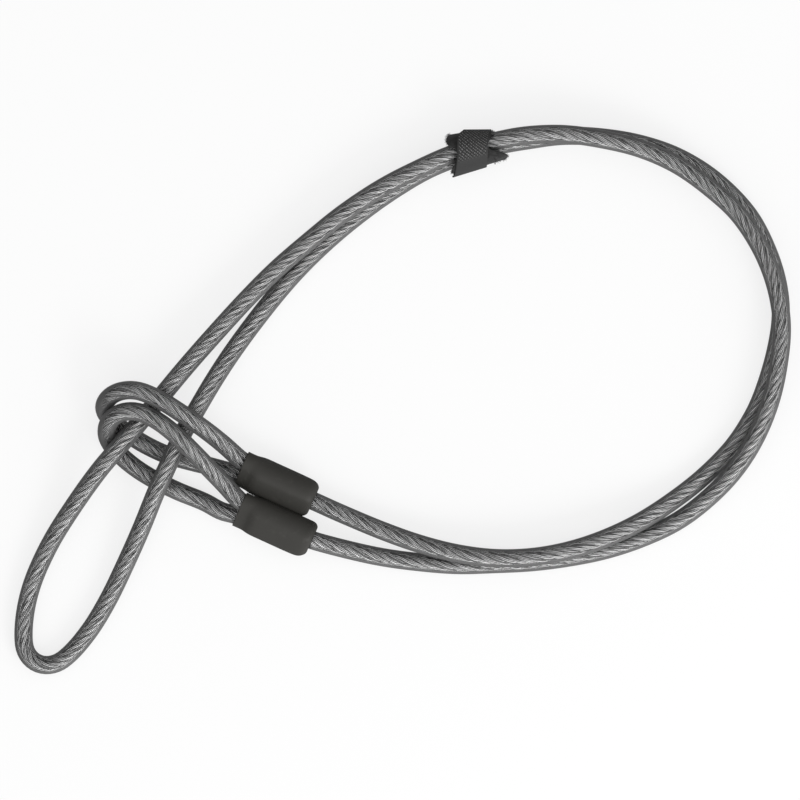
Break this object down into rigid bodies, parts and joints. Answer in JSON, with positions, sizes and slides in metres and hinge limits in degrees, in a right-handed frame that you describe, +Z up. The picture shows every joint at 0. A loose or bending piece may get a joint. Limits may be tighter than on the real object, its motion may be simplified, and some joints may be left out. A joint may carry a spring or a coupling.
{
  "type": "double-loop security cable",
  "caption": "Steel wire rope in a clear jacket with a crimped eye at each end, folded double through its own eyes and gathered by a hook-and-loop strap.",
  "frame": {"origin": "middle of the cable as it lies, on the surface it lies on", "axes": "+Z up off the surface, +X along the longest extent, from the eyes towards the far bend of the big loop"},
  "size_m": [0.422, 0.3, 0.0335],
  "materials": {
    "steel_rope": "bright galvanised wire",
    "clear_jacket": "clear gloss",
    "ferrule_metal": "pressed",
    "shrink_sleeve": "soft matte",
    "loop_tape": "brushed loop pile",
    "hook_tape": "woven, hooks on the inner side"
  },
  "bodies": {
    "cable": {"wire_rope": "steel_rope", "first_eye_jacket": "clear_jacket", "main_jacket": "clear_jacket", "second_eye_jacket": "clear_jacket", "first_ferrule": "ferrule_metal", "second_ferrule": "ferrule_metal", "first_shrink_sleeve": "shrink_sleeve", "second_shrink_sleeve": "shrink_sleeve"},
    "strap": {"loop_tape": "loop_tape", "hook_tape_sewn_end": "hook_tape"},
    "tab": {"hook_tape_tab": "hook_tape"}
  },
  "joints": [
    {"name": "strap_slide", "type": "hinge", "parent": "cable", "child": "strap", "pos_m": [0.0913, -0.0372, 0], "axis": [0, 0, 1], "range_deg": [-5, 5]},
    {"name": "tab_peel", "type": "hinge", "parent": "strap", "child": "tab", "pos_m": [0.03523, 0.1462, 0.01185], "axis": [-0.9563, -0.2924, 0], "range_deg": [0, 90]}
  ]
}
